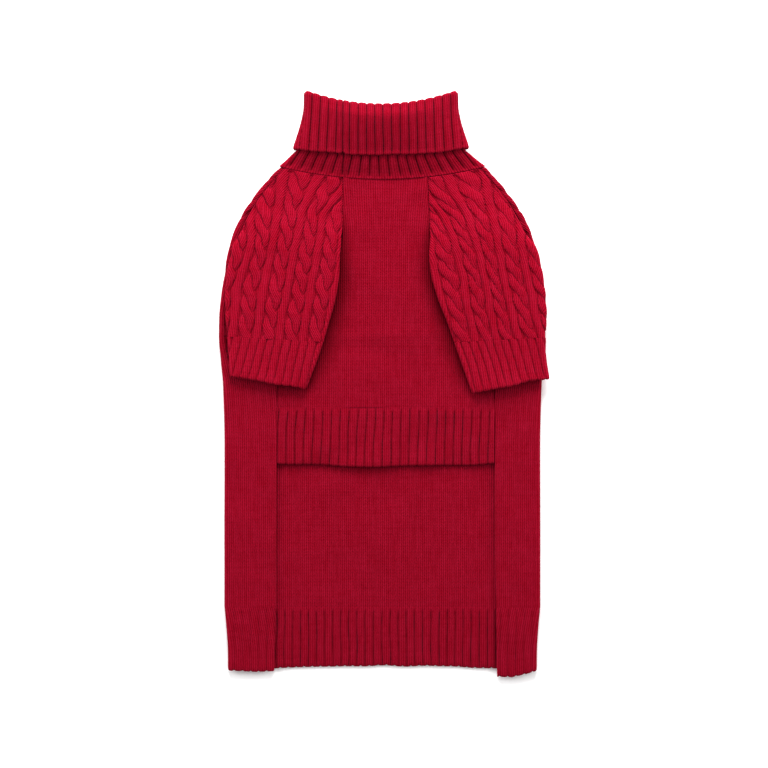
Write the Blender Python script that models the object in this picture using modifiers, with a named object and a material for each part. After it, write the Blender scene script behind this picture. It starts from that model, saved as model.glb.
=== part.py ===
"""A knitted roll-neck dog sweater, laid flat with its belly side up.

Frame: +Z up, the surface that it lies on is Z = 0, the collar points to +Y and the origin is under
the middle of the garment. Cut and sewn pieces: back panel with its two wrap-round sides, back hem,
chest panel, belly hem, two raglan sleeves, two cuffs and one turned-down collar. Each is a wall of
cloth: a sheet lofted through a short table of sections and thickened evenly about its middle.
All tables and sizes are in millimetres.
"""

from collections import namedtuple
from math import cos, pi, radians, sin

import bpy

MM = 0.001

# Cloth walls and how they lie on each other.
PLAIN_WALL = 2.0
BACK_WALL = 2.4
RIB_WALL = 2.6
CABLE_WALL = 2.6
SEAM_GAP = 0.3
LUMEN = 0.6

# Heights of the cloth's middle over the surface that the sweater lies on, and how it folds.
BACK_Z = BACK_WALL / 2
STRIP_Z = BACK_WALL * 1.5 + LUMEN
CHEST_Z = BACK_WALL + LUMEN + PLAIN_WALL / 2
BELLY_HEM_Z = BACK_WALL + LUMEN + RIB_WALL / 2
HEM_Z = RIB_WALL / 2
HEM_STRIP_Z = RIB_WALL * 1.5 + LUMEN
SLEEVE_FOLD = (CABLE_WALL + LUMEN) / 2
COLLAR_FOLD = (RIB_WALL + SEAM_GAP) / 2
FRONT_SAG_SHARE = 0.53
STRIP_RUN_OUT = 1.6
CROWN_ROUNDNESS = 0.7
LEAST_MARGIN = 0.5
HAIR = 0.01
SHARP_ANGLE = radians(40)

# Where one knit gives way to the next, from collar to tail.
BACK_HEM_TOP = -172.0
BELLY_HEM_TOP = -18.0

# How finely the sheets are divided across.
FOLD_STEPS = 5
STRIP_STEPS = 3
MARGIN_STEPS = 2
TOP_STEPS = 8
BACK_STEPS = 10
CHEST_STEPS = 8
COLLAR_STEPS = 10

BackRow = namedtuple("BackRow", "y half sag strip_left strip_right")
HemRow = namedtuple("HemRow", "y_middle y_fold y_left y_right half strip_left strip_right")
ChestRow = namedtuple("ChestRow", "y sag left right")
SleeveRow = namedtuple(
    "SleeveRow", "outer_x outer_y inner_x inner_y edge_z crown turn_outer turn_inner share bow"
)
CollarRow = namedtuple("CollarRow", "y sag_front sag_back x_middle half low_z high_z crown")

# Back panel: half its laid width, how far the row sags in the middle, and how much wraps over.
BACK_ROWS = [
    BackRow(166.0, 79.5, 17.7, 4.0, 4.0),
    BackRow(154.4, 90.0, 16.0, 4.0, 4.0),
    BackRow(140.5, 101.0, 13.0, 4.5, 4.5),
    BackRow(126.0, 110.0, 10.0, 5.0, 5.0),
    BackRow(107.4, 117.2, 7.0, 6.0, 6.0),
    BackRow(87.4, 121.3, 4.0, 9.0, 9.0),
    BackRow(68.0, 124.0, 2.0, 18.0, 17.0),
    BackRow(50.0, 125.5, 0.5, 44.5, 39.2),
    BackRow(36.0, 125.7, 0.0, 44.7, 39.4),
    BackRow(18.0, 124.2, 0.0, 43.2, 37.9),
    BackRow(0.0, 122.4, 0.0, 41.4, 36.1),
    BackRow(-50.0, 121.2, 0.0, 40.2, 34.9),
    BackRow(-110.0, 121.3, 0.0, 40.0, 34.8),
    BackRow(BACK_HEM_TOP, 121.3, 0.0, 39.4, 34.0),
]

# Back hem: the rib draws in a little, and the free corner of the right side hangs lower.
HEM_ROWS = [
    HemRow(BACK_HEM_TOP - SEAM_GAP, BACK_HEM_TOP - SEAM_GAP, BACK_HEM_TOP - SEAM_GAP,
           BACK_HEM_TOP - SEAM_GAP, 121.2, 39.3, 33.9),
    HemRow(-181.0, -181.2, -181.2, -181.6, 120.3, 38.2, 33.0),
    HemRow(-192.0, -192.6, -192.8, -193.6, 119.4, 36.9, 31.8),
    HemRow(-205.0, -206.6, -206.8, -209.0, 118.7, 35.9, 31.0),
    HemRow(-217.0, -220.4, -221.0, -225.2, 118.6, 35.6, 30.4),
]

# Chest panel: its raglan edges widen under the sleeves to the side seams.
CHEST_ROWS = [
    ChestRow(158.0, 1.4, -30.0, 34.6),
    ChestRow(146.0, 0.8, -30.0, 35.0),
    ChestRow(132.0, 0.0, -30.2, 35.8),
    ChestRow(118.0, 0.0, -30.6, 36.2),
    ChestRow(104.0, 0.0, -31.5, 37.0),
    ChestRow(88.0, 0.0, -37.0, 43.0),
    ChestRow(69.0, 0.0, -54.0, 60.0),
    ChestRow(50.0, 0.0, -80.7, 86.0),
    ChestRow(20.0, 0.0, -80.7, 86.0),
    ChestRow(BELLY_HEM_TOP, 0.0, -80.7, 86.0),
]
BELLY_HEM_ROWS = [
    ChestRow(BELLY_HEM_TOP - SEAM_GAP, 0.0, -80.7, 86.0),
    ChestRow(-32.0, 0.3, -80.4, 85.8),
    ChestRow(-47.0, 0.8, -80.5, 86.0),
    ChestRow(-61.2, 2.6, -80.6, 86.0),
]

# Sleeves: the two edges of each laid section, the height of its upper layer at the edges and how
# much more in the middle, how far each edge turns under, and the share of the lower layer that
# is there: none at the neck, all of it below the armhole.
LEFT_SLEEVE_ROWS = [
    SleeveRow(-75.2, 165.1, -30.4, 157.9, 4.3, 0.2, 12, 12, 0.02, 0.8),
    SleeveRow(-85.6, 153.6, -30.4, 146.0, 4.3, 1.4, 12, 12, 0.02, 0.4),
    SleeveRow(-96.0, 140.0, -30.6, 133.0, 4.4, 2.8, 12, 14, 0.02, 0.0),
    SleeveRow(-104.4, 125.0, -31.0, 118.5, 6.9, 2.4, 16, 20, 0.02, 0.0),
    SleeveRow(-109.6, 114.4, -31.4, 109.0, 8.6, 1.9, 60, 80, 0.03, 0.0),
    SleeveRow(-115.4, 104.0, -32.2, 98.4, 10.2, 1.2, 180, 180, 0.08, 0.0),
    SleeveRow(-118.6, 87.4, -33.0, 83.0, 10.2, 1.3, 180, 180, 0.30, 0.0),
    SleeveRow(-120.6, 68.0, -35.6, 65.6, 10.2, 1.4, 180, 180, 0.70, 0.0),
    SleeveRow(-120.2, 50.4, -40.4, 48.0, 10.2, 1.4, 180, 180, 1.0, 0.0),
    SleeveRow(-118.8, 36.0, -45.0, 32.0, 10.2, 1.2, 180, 180, 1.0, 0.0),
]
RIGHT_SLEEVE_ROWS = [
    SleeveRow(75.2, 165.1, 35.0, 158.2, 4.3, 0.2, 12, 12, 0.02, 0.8),
    SleeveRow(85.6, 153.6, 35.4, 145.6, 4.3, 1.4, 12, 12, 0.02, 0.4),
    SleeveRow(96.0, 140.0, 36.2, 132.8, 4.4, 2.8, 12, 14, 0.02, 0.0),
    SleeveRow(104.4, 125.0, 36.6, 118.4, 6.9, 2.4, 16, 20, 0.02, 0.0),
    SleeveRow(110.4, 114.4, 36.4, 109.0, 8.6, 1.9, 60, 80, 0.03, 0.0),
    SleeveRow(118.0, 104.0, 35.6, 98.6, 10.2, 1.2, 180, 180, 0.08, 0.0),
    SleeveRow(122.4, 87.4, 37.0, 84.0, 10.2, 1.3, 180, 180, 0.30, 0.0),
    SleeveRow(125.0, 68.0, 42.0, 66.0, 10.2, 1.4, 180, 180, 0.70, 0.0),
    SleeveRow(125.9, 50.0, 48.9, 48.6, 10.2, 1.4, 180, 180, 1.0, 0.0),
    SleeveRow(125.1, 35.4, 54.8, 31.6, 10.2, 1.2, 180, 180, 1.0, 0.0),
]
LEFT_CUFF_ROWS = [
    SleeveRow(-118.8, 35.7, -45.1, 31.7, 10.2, 1.2, 180, 180, 1.0, 0.0),
    SleeveRow(-118.0, 21.4, -50.0, 17.4, 10.2, 1.3, 180, 180, 1.0, 0.0),
    SleeveRow(-117.2, 10.0, -55.0, 4.4, 10.2, 1.5, 180, 180, 1.0, 0.0),
    SleeveRow(-117.0, 5.3, -58.0, -4.2, 10.2, 1.7, 180, 180, 1.0, 0.0),
]
RIGHT_CUFF_ROWS = [
    SleeveRow(125.1, 35.1, 54.9, 31.3, 10.2, 1.2, 180, 180, 1.0, 0.0),
    SleeveRow(125.8, 20.0, 60.6, 15.4, 10.2, 1.3, 180, 180, 1.0, 0.0),
    SleeveRow(127.4, 8.6, 65.6, 1.0, 10.2, 1.5, 180, 180, 1.0, 0.0),
    SleeveRow(128.2, 4.2, 68.6, -7.7, 10.2, 1.7, 180, 180, 1.0, 0.0),
]

# Collar: the neck tube rises from the neck seam, then turns out and down over itself.
NECK_ROWS = [
    CollarRow(166.6, 9.3, 17.7, 0.0, 78.2, 1.3, 4.3, 0.0),
    CollarRow(170.2, 8.6, 11.6, -0.4, 73.2, 1.3, 5.0, 0.2),
    CollarRow(174.8, 7.8, 9.5, -0.8, 67.8, 3.4, 6.6, 0.4),
    CollarRow(178.6, 7.0, 7.5, -1.0, 63.6, 4.3, 7.6, 0.6),
    CollarRow(186.0, 6.6, 6.6, -1.0, 61.3, 4.3, 7.7, 0.9),
    CollarRow(194.0, 7.2, 7.2, -1.0, 58.9, 4.3, 7.7, 1.1),
    CollarRow(203.0, 8.0, 8.0, -1.0, 56.6, 4.3, 7.7, 1.2),
    CollarRow(213.0, 9.2, 9.2, -1.0, 55.3, 4.3, 7.7, 1.2),
    CollarRow(222.0, 10.2, 10.2, -1.0, 55.2, 4.3, 7.7, 1.2),
]
TURNED_ROWS = [
    CollarRow(213.0, 9.2, 9.2, -1.0, 58.2, 1.4, 10.6, 1.2),
    CollarRow(203.0, 8.0, 8.0, -1.0, 59.6, 1.4, 10.6, 1.2),
    CollarRow(194.0, 7.0, 7.0, -1.0, 62.0, 1.4, 10.6, 1.2),
    CollarRow(186.0, 5.8, 5.8, -1.0, 64.8, 1.4, 10.6, 1.1),
    CollarRow(179.8, 5.2, 5.2, -1.0, 67.0, 1.4, 10.6, 1.0),
]

# Red wool: colour and roughness for each knit.
KNITS = {
    "plain_knit": ((0.36, 0.006, 0.022, 1.0), 0.85),
    "rib_knit": ((0.38, 0.008, 0.025, 1.0), 0.85),
    "cable_knit": ((0.42, 0.008, 0.028, 1.0), 0.85),
}


def clear_scene():
    for obj in list(bpy.data.objects):
        bpy.data.objects.remove(obj, do_unlink=True)


def make_collection(name):
    collection = bpy.data.collections.new(name)
    bpy.context.scene.collection.children.link(collection)
    return collection


def knit_material(name):
    material = bpy.data.materials.get(name)
    if material is None:
        colour, roughness = KNITS[name]
        material = bpy.data.materials.new(name)
        material.use_nodes = True
        shader = material.node_tree.nodes["Principled BSDF"]
        shader.inputs["Base Color"].default_value = colour
        shader.inputs["Roughness"].default_value = roughness
        shader.inputs["Metallic"].default_value = 0.0
    return material


def spread(low, high, steps):
    """The values from low to high in equal steps, both ends included."""
    return [low + (high - low) * i / steps for i in range(steps + 1)]


def cloth(name, collection, knit, rows, wall, tube=False):
    """A sheet through rows of points, thickened evenly about its middle. A tube's rows are loops."""
    width = len(rows[0])
    points = [(x * MM, y * MM, z * MM) for row in rows for x, y, z in row]
    across = width if tube else width - 1
    faces = [
        (r * width + c, (r + 1) * width + c, (r + 1) * width + (c + 1) % width, r * width + (c + 1) % width)
        for r in range(len(rows) - 1)
        for c in range(across)
    ]
    mesh = bpy.data.meshes.new(name)
    mesh.from_pydata(points, [], faces)
    obj = bpy.data.objects.new(name, mesh)
    obj.data.materials.append(knit_material(knit))
    collection.objects.link(obj)
    solid = obj.modifiers.new("wall", "SOLIDIFY")
    solid.thickness = wall * MM
    solid.offset = 0.0
    solid.use_even_offset = True
    mesh.shade_smooth()
    mesh.set_sharp_from_angle(angle=SHARP_ANGLE)
    return obj


def half_turn(centre_x, centre_z, radius, start, end):
    """Points of an arc in the XZ plane, from start to end degrees anticlockwise from +X."""
    return [
        (centre_x + radius * cos(radians(a)), centre_z + radius * sin(radians(a)))
        for a in spread(start, end, FOLD_STEPS)
    ]


def wrapped_section(half, strip_left, strip_right, low_z, high_z, wall):
    """A back section: left strip, fold, the layer underneath, fold, right strip, as (x, z) points."""
    radius = (high_z - low_z) / 2
    fold_x = half - wall / 2 - radius
    middle_z = (high_z + low_z) / 2
    left = [(x, high_z) for x in spread(strip_left - half, -fold_x, STRIP_STEPS)]
    under = [(x, low_z) for x in spread(-fold_x, fold_x, BACK_STEPS)]
    right = [(x, high_z) for x in spread(fold_x, half - strip_right, STRIP_STEPS)]
    return (
        left[:-1]
        + half_turn(-fold_x, middle_z, radius, 90, 270)
        + under[1:-1]
        + half_turn(fold_x, middle_z, radius, -90, 90)
        + right[1:]
    )


def panel_y(row, x, z):
    """The back row's Y: it sags in the middle, and less in the part that wraps over the front."""
    sag = row.sag * (FRONT_SAG_SHARE if z > STRIP_Z - HAIR else 1.0)
    return row.y - sag * (1 - (x / row.half) ** 2)


def make_back_panel(collection):
    rows = []
    for row in BACK_ROWS:
        section = wrapped_section(
            row.half, row.strip_left, row.strip_right, BACK_Z, STRIP_Z, BACK_WALL
        )
        rows.append([(x, panel_y(row, x, z), z) for x, z in section])
    return cloth("back_panel", collection, "cable_knit", rows, BACK_WALL)


def hem_y(row, x, z):
    """The hem row's Y: sagging underneath, and running out along each strip to its free edge."""
    along = min(1.0, abs(x) / row.half)
    if z < HEM_STRIP_Z - HAIR:
        return row.y_fold + (row.y_middle - row.y_fold) * (1 - along**2)
    strip = row.strip_left if x < 0 else row.strip_right
    end = row.y_left if x < 0 else row.y_right
    out = min(1.0, (row.half - abs(x)) / strip * STRIP_RUN_OUT)
    return row.y_fold + (end - row.y_fold) * out


def make_back_hem(collection):
    rows = []
    for row in HEM_ROWS:
        section = wrapped_section(
            row.half, row.strip_left, row.strip_right, HEM_Z, HEM_STRIP_Z, RIB_WALL
        )
        rows.append([(x, hem_y(row, x, z), z) for x, z in section])
    return cloth("back_hem", collection, "rib_knit", rows, RIB_WALL)


def make_front(name, collection, knit, table, z, wall):
    """A flat front piece between its left and right edges, each row sagging in the middle."""
    rows = []
    for row in table:
        middle = (row.left + row.right) / 2
        half = (row.right - row.left) / 2
        rows.append([
            (x, row.y - row.sag * (1 - ((x - middle) / half) ** 2), z)
            for x in spread(row.left, row.right, CHEST_STEPS)
        ])
    return cloth(name, collection, knit, rows, wall)


def sleeve_section(row, wall):
    """A sleeve section as (share across, height) points, in millimetres along its own width.

    From the seam in the lower layer, out along that layer, round the outer edge, over the upper
    layer with its crown, round the inner edge and back to the seam.
    """
    width = ((row.inner_x - row.outer_x) ** 2 + (row.inner_y - row.outer_y) ** 2) ** 0.5
    inset = wall / 2 + SLEEVE_FOLD
    reach = (width / 2 - inset) - SEAM_GAP / 2

    def edge(turn):
        """From the free end of the lower layer up to where the upper layer starts."""
        arc = [
            (inset - SLEEVE_FOLD * sin(radians(a)), row.edge_z - SLEEVE_FOLD * (1 - cos(radians(a))))
            for a in spread(turn, 0, FOLD_STEPS)
        ]
        margin = max(LEAST_MARGIN, reach * row.share)
        away = (-cos(radians(turn)) * margin, -sin(radians(turn)) * margin)
        tail = [(arc[0][0] + away[0] * s, arc[0][1] + away[1] * s) for s in spread(1, 0, MARGIN_STEPS)]
        return tail[:-1] + arc

    upper = [
        (d, row.edge_z + row.crown * sin(pi * (d - inset) / (width - 2 * inset)) ** CROWN_ROUNDNESS)
        for d in spread(inset, width - inset, TOP_STEPS)
    ]
    outer = edge(row.turn_outer)
    inner = [(width - d, z) for d, z in reversed(edge(row.turn_inner))]
    return outer + upper[1:-1] + inner, width


def make_sleeve(name, collection, knit, table):
    rows = []
    for row in table:
        section, width = sleeve_section(row, CABLE_WALL)
        along = ((row.inner_x - row.outer_x) / width, (row.inner_y - row.outer_y) / width)
        rows.append([
            (
                row.outer_x + d * along[0],
                row.outer_y + d * along[1] - 4 * row.bow * (d / width) * (1 - d / width),
                z,
            )
            for d, z in section
        ])
    return cloth(name, collection, knit, rows, CABLE_WALL)


def collar_loop(row):
    """One flattened loop of the collar: front layer left to right, side, back layer, other side."""
    radius = (row.high_z - row.low_z) / 2
    middle_z = (row.high_z + row.low_z) / 2
    flat = row.half - radius
    front = [
        (x, row.high_z + row.crown * (1 - (x / flat) ** 2), row.sag_front)
        for x in spread(-flat, flat, COLLAR_STEPS)
    ]
    right = [(x, z, row.sag_back) for x, z in half_turn(flat, middle_z, radius, 90, -90)]
    back = [(x, row.low_z, row.sag_back) for x in spread(flat, -flat, COLLAR_STEPS)]
    left = [(x, z, row.sag_back) for x, z in half_turn(-flat, middle_z, radius, 270, 90)]
    loop = front[:-1] + right + back[1:-1] + left[:-1]
    return [(row.x_middle + x, row.y - sag * (1 - (x / row.half) ** 2), z) for x, z, sag in loop]


def turn_over_rows():
    """The rows round the collar's top edge, where the neck tube turns outwards."""
    top = NECK_ROWS[-1]
    rows = []
    for a in spread(0, 180, FOLD_STEPS)[1:]:
        out = COLLAR_FOLD * (1 - cos(radians(a)))
        rows.append(CollarRow(
            top.y + COLLAR_FOLD * sin(radians(a)), top.sag_front, top.sag_back, top.x_middle,
            top.half + out, top.low_z - out, top.high_z + out, top.crown,
        ))
    return rows


def make_collar(collection):
    rows = [collar_loop(row) for row in NECK_ROWS + turn_over_rows() + TURNED_ROWS]
    return cloth("collar", collection, "rib_knit", rows, RIB_WALL, tube=True)


def main():
    clear_scene()
    sweater = make_collection("dog_sweater")
    make_back_panel(sweater)
    make_back_hem(sweater)
    make_front("chest_panel", sweater, "plain_knit", CHEST_ROWS, CHEST_Z, PLAIN_WALL)
    make_front("belly_hem", sweater, "rib_knit", BELLY_HEM_ROWS, BELLY_HEM_Z, RIB_WALL)
    make_sleeve("sleeve_left", sweater, "cable_knit", LEFT_SLEEVE_ROWS)
    make_sleeve("sleeve_right", sweater, "cable_knit", RIGHT_SLEEVE_ROWS)
    make_sleeve("cuff_left", sweater, "rib_knit", LEFT_CUFF_ROWS)
    make_sleeve("cuff_right", sweater, "rib_knit", RIGHT_CUFF_ROWS)
    make_collar(sweater)


main()
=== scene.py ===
"""Knits the looks of a roll-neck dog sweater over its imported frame, laid flat with its belly side up.

Every piece is a wall of knitted cloth: a sheet lofted through a short table of sections, moved out
along its own normals by the ribs and cables knitted into it, and closed round its edges. Tables and
pattern sizes are in millimetres; meshes are in metres. +Y points to the collar, +Z is up.
"""

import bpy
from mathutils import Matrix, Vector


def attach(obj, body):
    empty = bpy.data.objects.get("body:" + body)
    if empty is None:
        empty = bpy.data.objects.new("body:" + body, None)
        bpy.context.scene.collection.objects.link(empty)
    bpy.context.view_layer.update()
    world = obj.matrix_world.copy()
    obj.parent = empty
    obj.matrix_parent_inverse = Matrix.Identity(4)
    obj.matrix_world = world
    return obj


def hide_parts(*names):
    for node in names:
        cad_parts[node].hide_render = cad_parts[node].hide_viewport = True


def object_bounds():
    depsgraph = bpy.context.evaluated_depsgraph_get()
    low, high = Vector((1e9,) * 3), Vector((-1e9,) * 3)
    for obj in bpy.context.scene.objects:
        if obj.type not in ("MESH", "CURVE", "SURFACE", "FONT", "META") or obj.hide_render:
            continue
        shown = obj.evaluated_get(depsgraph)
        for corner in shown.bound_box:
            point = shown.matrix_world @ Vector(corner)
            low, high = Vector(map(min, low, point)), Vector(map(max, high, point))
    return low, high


bl_info = {
    "name": "Knitted Dog Sweater",
    "version": (1, 0, 0),
    "blender": (4, 5, 0),
    "location": "View3D > Sidebar > Dog Sweater",
    "description": "Knits a cabled roll-neck dog sweater, laid flat, and lights it",
    "category": "Add Mesh",
}

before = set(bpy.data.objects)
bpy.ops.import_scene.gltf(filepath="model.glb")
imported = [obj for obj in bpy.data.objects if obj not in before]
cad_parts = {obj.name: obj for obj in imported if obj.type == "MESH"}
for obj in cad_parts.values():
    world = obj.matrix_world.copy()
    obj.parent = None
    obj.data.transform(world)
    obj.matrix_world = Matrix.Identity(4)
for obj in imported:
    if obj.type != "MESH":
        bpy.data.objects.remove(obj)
CAD_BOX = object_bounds()

from collections import namedtuple
from math import pi, radians

import bpy
import numpy as np
from bpy.props import FloatProperty, FloatVectorProperty, PointerProperty
from mathutils import Vector

MM = 0.001

# Cloth walls and how they lie on each other, as in the frame.
PLAIN_WALL = 2.0
BACK_WALL = 2.4
RIB_WALL = 2.6
SEAM_GAP = 0.3
LUMEN = 0.6
BACK_Z = BACK_WALL / 2
STRIP_Z = BACK_WALL * 1.5 + LUMEN
CHEST_Z = BACK_WALL + LUMEN + PLAIN_WALL / 2
BELLY_HEM_Z = BACK_WALL + LUMEN + RIB_WALL / 2
HEM_Z = RIB_WALL / 2
HEM_STRIP_Z = RIB_WALL * 1.5 + LUMEN
SLEEVE_FOLD = (RIB_WALL + LUMEN) / 2
COLLAR_FOLD = (RIB_WALL + SEAM_GAP) / 2
FOLD_EASE = 0.2
FRONT_SAG_SHARE = 0.53
STRIP_RUN_OUT = 1.6
CROWN_ROUNDNESS = 0.7
LEAST_MARGIN = 0.5

# How an edge of the cloth rolls: how far in, and the share of the wall left at the very edge, for
# free edges, sewn edges and edges that the next piece is knitted on to. EDGE_ROWS are the first rows'
# distances from an edge. Faces that meet at more than CREASE_ANGLE degrees keep a sharp edge.
FREE_EDGE = (1.6, 0.16)
SEWN_EDGE = (0.3, 0.75)
KNITTED_ON = (0.2, 0.95)
EDGE_ROWS = (0.0, 0.2, 0.6, 1.1)
EDGE_CROWDING = 0.25
CREASE_ANGLE = 60

BackRow = namedtuple("BackRow", "y half sag strip_left strip_right")
HemRow = namedtuple("HemRow", "y y_fold y_left y_right half strip_left strip_right")
ChestRow = namedtuple("ChestRow", "y sag left right")
SleeveRow = namedtuple(
    "SleeveRow", "outer_y outer_x inner_x inner_y edge_z crown turn_outer turn_inner share bow"
)
CollarRow = namedtuple("CollarRow", "y sag_front sag_back x_middle half low_z high_z crown")
RibLines = namedtuple("RibLines", "y first second third fourth fifth")
Crease = namedtuple("Crease", "x y angle length width height")
SleeveShadow = namedtuple("SleeveShadow", "y left right reach depth")

BACK_ROWS = [
    BackRow(166.1, 79.5, 17.7, 4.0, 4.0),
    BackRow(154.4, 90.0, 16.0, 4.0, 4.0),
    BackRow(140.5, 101.0, 13.0, 4.5, 4.5),
    BackRow(126.0, 110.0, 10.0, 5.0, 5.0),
    BackRow(107.4, 117.2, 7.0, 6.0, 6.0),
    BackRow(87.4, 121.3, 4.0, 9.0, 9.0),
    BackRow(68.0, 124.0, 2.0, 18.0, 17.0),
    BackRow(50.0, 125.5, 0.5, 44.5, 39.2),
    BackRow(36.0, 125.7, 0.0, 44.7, 39.4),
    BackRow(18.0, 124.2, 0.0, 43.2, 37.9),
    BackRow(0.0, 122.4, 0.0, 41.4, 36.1),
    BackRow(-50.0, 121.2, 0.0, 40.2, 34.9),
    BackRow(-110.0, 121.3, 0.0, 40.0, 34.8),
    BackRow(-172.0, 121.3, 0.0, 39.4, 34.0),
]
HEM_ROWS = [
    HemRow(-172.0, -172.0, -172.0, -172.0, 121.2, 39.3, 33.9),
    HemRow(-181.0, -181.2, -181.2, -181.6, 120.3, 38.2, 33.0),
    HemRow(-192.0, -192.6, -192.8, -193.6, 119.4, 36.9, 31.8),
    HemRow(-205.0, -206.6, -206.8, -209.0, 118.7, 35.9, 31.0),
    HemRow(-217.0, -220.4, -221.0, -225.2, 118.6, 35.6, 30.4),
]
CHEST_ROWS = [
    ChestRow(158.6, 1.4, -30.0, 34.6),
    ChestRow(146.0, 0.8, -30.0, 35.0),
    ChestRow(132.0, 0.0, -30.2, 35.8),
    ChestRow(118.0, 0.0, -30.6, 36.2),
    ChestRow(104.0, 0.0, -31.5, 37.0),
    ChestRow(88.0, 0.0, -37.0, 43.0),
    ChestRow(69.0, 0.0, -54.0, 60.0),
    ChestRow(50.0, 0.0, -80.9, 86.2),
    ChestRow(20.0, 0.0, -80.9, 86.2),
    ChestRow(-18.2, 0.0, -80.9, 86.2),
]
BELLY_HEM_ROWS = [
    ChestRow(-18.0, 0.0, -81.0, 86.2),
    ChestRow(-32.0, 0.3, -80.7, 86.0),
    ChestRow(-47.0, 0.8, -80.8, 86.0),
    ChestRow(-61.2, 2.6, -80.9, 86.0),
]
LEFT_SLEEVE_ROWS = [
    SleeveRow(165.4, -75.2, -30.4, 158.2, 4.3, 0.2, 12, 12, 0.02, 0.8),
    SleeveRow(153.6, -85.6, -30.4, 146.0, 4.3, 1.4, 12, 12, 0.02, 0.4),
    SleeveRow(140.0, -96.0, -30.6, 133.0, 4.4, 2.8, 12, 14, 0.02, 0.0),
    SleeveRow(125.0, -104.4, -31.0, 118.5, 6.9, 2.4, 16, 20, 0.02, 0.0),
    SleeveRow(114.4, -109.6, -31.4, 109.0, 8.6, 1.9, 60, 80, 0.03, 0.0),
    SleeveRow(104.0, -115.4, -32.2, 98.4, 10.2, 1.2, 180, 180, 0.08, 0.0),
    SleeveRow(87.4, -118.6, -33.0, 83.0, 10.2, 1.3, 180, 180, 0.30, 0.0),
    SleeveRow(68.0, -120.6, -35.6, 65.6, 10.2, 1.4, 180, 180, 0.70, 0.0),
    SleeveRow(50.4, -120.2, -40.4, 48.0, 10.2, 1.4, 180, 180, 1.0, 0.0),
    SleeveRow(35.8, -118.8, -45.0, 31.8, 10.2, 1.2, 180, 180, 1.0, 0.0),
]
RIGHT_SLEEVE_ROWS = [
    SleeveRow(165.4, 75.2, 35.0, 158.4, 4.3, 0.2, 12, 12, 0.02, 0.8),
    SleeveRow(153.6, 85.6, 35.4, 145.6, 4.3, 1.4, 12, 12, 0.02, 0.4),
    SleeveRow(140.0, 96.0, 36.2, 132.8, 4.4, 2.8, 12, 14, 0.02, 0.0),
    SleeveRow(125.0, 104.4, 36.6, 118.4, 6.9, 2.4, 16, 20, 0.02, 0.0),
    SleeveRow(114.4, 110.4, 36.4, 109.0, 8.6, 1.9, 60, 80, 0.03, 0.0),
    SleeveRow(104.0, 118.0, 35.6, 98.6, 10.2, 1.2, 180, 180, 0.08, 0.0),
    SleeveRow(87.4, 122.4, 37.0, 84.0, 10.2, 1.3, 180, 180, 0.30, 0.0),
    SleeveRow(68.0, 125.0, 42.0, 66.0, 10.2, 1.4, 180, 180, 0.70, 0.0),
    SleeveRow(50.0, 125.9, 48.9, 48.6, 10.2, 1.4, 180, 180, 1.0, 0.0),
    SleeveRow(35.2, 125.1, 54.8, 31.4, 10.2, 1.2, 180, 180, 1.0, 0.0),
]
LEFT_CUFF_ROWS = [
    SleeveRow(35.8, -118.8, -45.1, 31.8, 10.2, 1.2, 180, 180, 1.0, 0.0),
    SleeveRow(21.4, -118.0, -50.0, 17.4, 10.2, 1.3, 180, 180, 1.0, 0.0),
    SleeveRow(10.0, -117.2, -55.0, 4.4, 10.2, 1.5, 180, 180, 1.0, 0.0),
    SleeveRow(5.3, -117.0, -58.0, -4.2, 10.2, 1.7, 180, 180, 1.0, 0.0),
]
RIGHT_CUFF_ROWS = [
    SleeveRow(35.2, 125.1, 54.9, 31.4, 10.2, 1.2, 180, 180, 1.0, 0.0),
    SleeveRow(20.0, 125.8, 60.6, 15.4, 10.2, 1.3, 180, 180, 1.0, 0.0),
    SleeveRow(8.6, 127.4, 65.6, 1.0, 10.2, 1.5, 180, 180, 1.0, 0.0),
    SleeveRow(4.2, 128.2, 68.6, -7.7, 10.2, 1.7, 180, 180, 1.0, 0.0),
]
NECK_ROWS = [
    CollarRow(166.3, 9.3, 17.7, 0.0, 78.2, 1.3, 4.3, 0.0),
    CollarRow(170.2, 8.6, 11.6, -0.4, 73.2, 1.3, 5.0, 0.2),
    CollarRow(174.8, 7.8, 9.5, -0.8, 67.8, 3.4, 6.6, 0.4),
    CollarRow(178.6, 7.0, 7.5, -1.0, 63.6, 4.3, 7.6, 0.6),
    CollarRow(186.0, 6.6, 6.6, -1.0, 61.3, 4.3, 7.7, 0.9),
    CollarRow(194.0, 7.2, 7.2, -1.0, 58.9, 4.3, 7.7, 1.1),
    CollarRow(203.0, 8.0, 8.0, -1.0, 56.6, 4.3, 7.7, 1.2),
    CollarRow(213.0, 9.2, 9.2, -1.0, 55.3, 4.3, 7.7, 1.2),
    CollarRow(222.0, 10.2, 10.2, -1.0, 55.2, 4.3, 7.7, 1.2),
]
TURNED_ROWS = [
    CollarRow(213.0, 9.2, 9.2, -1.0, 58.2, 1.4, 10.6, 1.2),
    CollarRow(203.0, 8.0, 8.0, -1.0, 59.6, 1.4, 10.6, 1.2),
    CollarRow(194.0, 7.0, 7.0, -1.0, 62.0, 1.4, 10.6, 1.2),
    CollarRow(186.0, 5.8, 5.8, -1.0, 64.8, 1.4, 10.6, 1.1),
    CollarRow(179.8, 5.2, 5.2, -1.0, 67.0, 1.4, 10.6, 1.0),
]

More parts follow.
